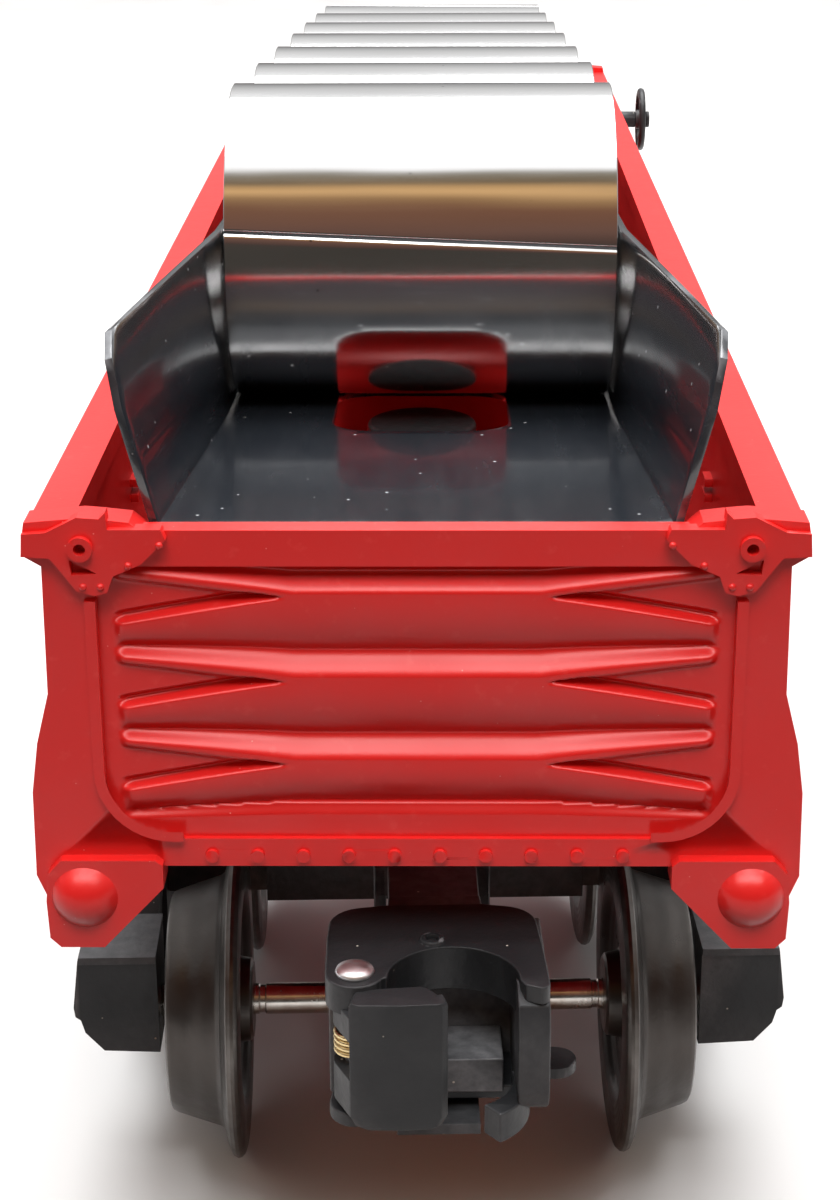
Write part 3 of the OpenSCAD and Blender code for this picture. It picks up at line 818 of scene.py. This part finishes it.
def tube(bm, path, radius, sides):
    """A round wire along a path."""
    up = Vector((0, 0, 1))
    angles = [2 * math.pi * i / sides for i in range(sides)]
    rings = []
    for k, p in enumerate(path):
        ahead = (path[min(k + 1, len(path) - 1)] - path[max(k - 1, 0)]).normalized()
        across = ahead.cross(up).normalized()
        over = across.cross(ahead)
        rings.append([bm.verts.new(p + (across * math.cos(a) + over * math.sin(a)) * radius) for a in angles])
    for a, b in zip(rings, rings[1:]):
        for i in range(sides):
            j = (i + 1) % sides
            bm.faces.new((a[i], a[j], b[j], b[i]))
    bm.faces.new(rings[0])
    bm.faces.new(rings[-1])


for truck, (_, _, numbers) in TRUCKS.items():
    ends = (-WHEELBASE / 2, WHEELBASE / 2) if truck == "front" else (WHEELBASE / 2, -WHEELBASE / 2)
    for number, y in zip(numbers, ends):
        axle(truck, number, y)
        for side in (-1, 1):
            wheel(truck, number, y, side)
    coupler(truck)
    knuckle(truck)
    knuckle_pin(truck)
    knuckle_spring(truck)
    body = f"truck_{truck}"
    from_cad(f"bolster_{truck}", body, CASTING, "truck_metal", 0.3)
    for side in "lr":
        from_cad(f"side_frame_{truck}_{side}", body, CASTING, "truck_metal", 0.28)
    from_cad(f"coupler_rivet_{truck}", body, RIVET, "rivet_steel", 0.1)
    from_cad(f"lock_pin_{truck}", body, RIVET, "rivet_steel", 0.1)
    from_cad(f"lock_plate_{truck}", f"lock_plate_{truck}", CASTING, "coupler_metal", 0.15)

from_cad("channel_rivets", "car", RIVET, "rivet_steel", 0.12)
from_cad("truck_rivets", "car", CASTING, "coupler_metal", 0.3)
from_cad("brake_staff", "car", CASTING, "brake_metal", 0.1)


def brake_wheel():
    """Rim, dished spokes and hub."""
    rim_angles = [2 * math.pi * k / 14 for k in range(14)]
    rim = [(3.85 + 0.45 * math.cos(a), 0.45 * math.sin(a)) for a in rim_angles]
    hub = [(0.76, -0.7), (1.15, -0.7), (1.3, -0.5), (1.3, 0.5), (1.15, 0.7), (0.76, 0.7)]
    spoke = [(0.25, 1.15), (0.3, 2.3), (0.05, 3.6)]

    def build(bm):
        lathe(bm, rim, 64, lambda a, b, h: (h, a, b))
        lathe(bm, hub, 32, lambda a, b, h: (h, a, b))
        for k in range(6):
            a = math.pi / 3 * k
            tube(bm, [Vector((dish, r * math.cos(a), r * math.sin(a))) for dish, r in spoke], 0.32, 8)

    return show("brake_wheel_v", mesh_of(build), "brake_wheel", CASTING, "brake_metal", ["brake_wheel"],
                sharp=45, at=BRAKE)


brake_wheel()


# Floor, light and camera.
def floor_material():
    s = Shader("pale_floor")
    s.link(s.mix(s.noise(3, 4), (0.74, 0.74, 0.74), (0.78, 0.78, 0.78)), "Base Color")
    s.link(s.spread(s.noise(40, 4), 0.3, 0.7, 0.30, 0.40), "Roughness")
    s.link(s.bump(s.noise(600, 3), 0.02, 0.0002), "Normal")
    return s.material


def floor():
    def build(bm):
        half = 3000
        sheet(bm, [[(-half, y, 0), (half, y, 0)] for y in (-half, half)])

    mesh = mesh_of(build)
    mesh.materials.append(floor_material())
    ground = bpy.data.objects.new("floor", mesh)
    bpy.context.scene.collection.objects.link(ground)
    ground.visible_diffuse = False


def front_flag():
    """A dim card low in front of the tent, seen only in reflections, where the table ends."""

    def build(bm):
        sheet(bm, [[(-500, -330, z), (500, -330, z)] for z in (0.5, 105)])

    s = Shader("flag_card")
    s.set(Roughness=1.0, Specular_IOR_Level=0.0, Base_Color=(0, 0, 0, 1), Emission_Strength=1.0)
    s.link(s.mix(s.noise(4, 3), (0.045, 0.040, 0.035), (0.075, 0.066, 0.056)), "Emission Color")
    mesh = mesh_of(build)
    mesh.materials.append(s.material)
    card = bpy.data.objects.new("front_flag", mesh)
    bpy.context.scene.collection.objects.link(card)
    card.visible_camera = False
    card.visible_diffuse = False
    card.visible_shadow = False


def area_light(name, place, target, size, power):
    """A rectangular lamp at a place, aimed at a target, both in metres."""
    lamp = bpy.data.lights.new(name, "AREA")
    lamp.shape = "RECTANGLE"
    lamp.size, lamp.size_y = size
    lamp.energy = power
    obj = bpy.data.objects.new(name, lamp)
    bpy.context.scene.collection.objects.link(obj)
    obj.location = place
    obj.rotation_euler = (Vector(target) - Vector(place)).to_track_quat("-Z", "Y").to_euler()
    return obj


def ramp(nodes, links, value, stops):
    """A colour ramp over a value, from (place, colour) stops."""
    node = nodes.new("ShaderNodeValToRGB")
    elements = node.color_ramp.elements
    for k, (place, colour) in enumerate(stops):
        stop = elements[k] if k < 2 else elements.new(place)
        stop.position = place
        stop.color = (*colour, 1)
    links.new(value, node.inputs["Fac"])
    return node.outputs["Color"]


# The middle of the near end wall, in metres, where the front lamps aim.
END_FACE = (0, -0.10, 0.045)


def light_only(lamp, wanted):
    """Keeps a lamp's light to the meshes for which wanted(piece) holds."""
    lit = bpy.data.collections.new("lit_by_" + lamp.name)
    for piece in bpy.data.objects:
        if piece.type == "MESH" and wanted(piece):
            lit.objects.link(piece)
    lamp.light_linking.receiver_collection = lit


def front_fill():
    """A soft light above the near end that lights the car but not the table, and shows in no reflection."""
    lamp = area_light("front_fill", (0.0, -0.50, 0.72), END_FACE, (0.5, 0.3), 4.6)
    lamp.visible_glossy = False
    light_only(lamp, lambda piece: piece.name != "floor")


def red_sheen():
    """A card of light seen only as the gloss on the red moulding, high in front of the near end."""
    lamp = area_light("red_sheen", (0.0, -0.45, 0.56), END_FACE, (0.9, 0.22), 4.2)
    lamp.visible_diffuse = False
    light_only(lamp, lambda piece: RED in piece.data.materials[:])


def world():
    """A white light tent, dimmer near the table and open towards -Y, onto a brown room with a warm lamp."""
    w = bpy.data.worlds.new("studio")
    bpy.context.scene.world = w
    w.use_nodes = True
    nodes, links = w.node_tree.nodes, w.node_tree.links
    direction = nodes.new("ShaderNodeTexCoord").outputs["Generated"]
    split = nodes.new("ShaderNodeSeparateXYZ")
    links.new(direction, split.inputs["Vector"])
    height = split.outputs["Z"]
    tent = ramp(nodes, links, height, [
        (0.0, (0.16, 0.15, 0.15)), (0.25, (0.5, 0.5, 0.5)), (0.6, (1.0, 1.0, 1.0)), (0.9, (1.7, 1.7, 1.7)),
    ])
    room = ramp(nodes, links, height, [
        (0.0, (0.17, 0.07, 0.045)), (0.16, (0.10, 0.06, 0.05)), (0.30, (0.19, 0.10, 0.075)),
        (0.55, (0.24, 0.11, 0.065)), (0.64, (0.42, 0.24, 0.11)), (0.71, (0.95, 0.58, 0.26)),
        (0.755, (0.70, 0.42, 0.18)), (0.79, (0.22, 0.16, 0.10)), (0.87, (0.26, 0.23, 0.17)),
        (0.895, (1.5, 1.5, 1.5)),
    ])
    front = nodes.new("ShaderNodeMapRange")
    front.inputs["From Min"].default_value = -0.15
    front.inputs["From Max"].default_value = -0.3
    links.new(split.outputs["Y"], front.inputs["Value"])
    mix = nodes.new("ShaderNodeMix")
    mix.data_type = "RGBA"
    links.new(front.outputs["Result"], mix.inputs["Factor"])
    links.new(tent, mix.inputs["A"])
    links.new(room, mix.inputs["B"])
    links.new(mix.outputs["Result"], nodes["Background"].inputs["Color"])
    nodes["Background"].inputs["Strength"].default_value = 0.9


# The camera solved from the photograph: lengths in millimetres, pitch and yaw in degrees, roll in radians.
CAMERA_AT = (1.863, -241.05, 105.79)
CAMERA_SENSOR = 36
CAMERA_LENS = 70.05
CAMERA_PITCH = 20.58
CAMERA_YAW = -0.67
CAMERA_ROLL = -0.004


def camera():
    """A camera in front of the near end, a little to its right, that looks down on the car."""
    data = bpy.data.cameras.new("camera")
    data.sensor_width = CAMERA_SENSOR
    data.lens = CAMERA_LENS
    data.clip_start = 0.005
    data.clip_end = 20
    obj = bpy.data.objects.new("camera", data)
    bpy.context.scene.collection.objects.link(obj)
    pitch = math.radians(CAMERA_PITCH)
    yaw = math.radians(CAMERA_YAW)
    forward = Vector((math.sin(yaw) * math.cos(pitch), math.cos(yaw) * math.cos(pitch), -math.sin(pitch)))
    right = Vector((math.cos(yaw), -math.sin(yaw), 0))
    up = right.cross(forward)
    rolled_right = right * math.cos(CAMERA_ROLL) + up * math.sin(CAMERA_ROLL)
    rolled_up = up * math.cos(CAMERA_ROLL) - right * math.sin(CAMERA_ROLL)
    turn = Matrix((rolled_right, rolled_up, -forward)).transposed().to_4x4()
    obj.matrix_world = Matrix.Translation(Vector(CAMERA_AT) * MM) @ turn
    bpy.context.scene.camera = obj


bpy.context.scene.view_settings.view_transform = "Standard"
floor()
world()
area_light("top_box", (0.0, 0.16, 0.75), (0, 0.06, 0), (0.8, 0.8), 12)
front_fill()
red_sheen()
front_flag()
camera()
